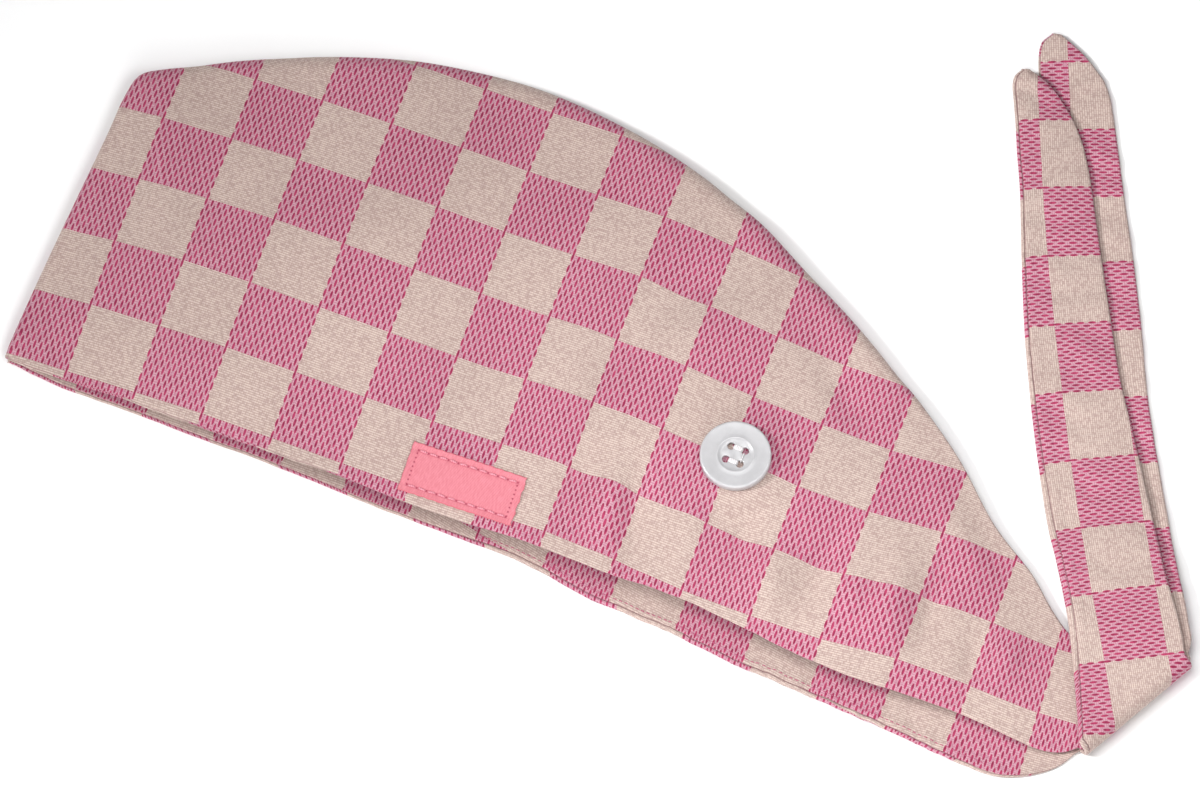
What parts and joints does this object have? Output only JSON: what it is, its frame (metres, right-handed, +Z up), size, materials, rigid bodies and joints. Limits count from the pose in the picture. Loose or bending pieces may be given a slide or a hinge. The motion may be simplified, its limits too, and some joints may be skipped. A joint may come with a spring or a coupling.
{
  "type": "scrub cap",
  "caption": "Tie-back cloth scrub cap lying folded flat on its side, self-lined checked cotton, ties folded over, four-hole mask buttons and a woven hem label.",
  "frame": {"origin": "middle of the bounding box, on the surface that the cap lies on", "axes": "+X along the hem from the centre front to the folded ties, +Y from the hem towards the crown, +Z up from the surface"},
  "size_m": [0.3929, 0.2449, 0.0184],
  "materials": {
    "check_cloth": "matte cotton, pink and cream check",
    "plastic": "glossy white",
    "thread": "twisted cotton thread",
    "label_cloth": "woven satin, salmon pink"
  },
  "bodies": {
    "root": {"side_left": "check_cloth", "side_right": "check_cloth", "button_left": "plastic", "button_right": "plastic", "thread_left": "thread", "thread_right": "thread", "label": "label_cloth"}
  },
  "joints": []
}
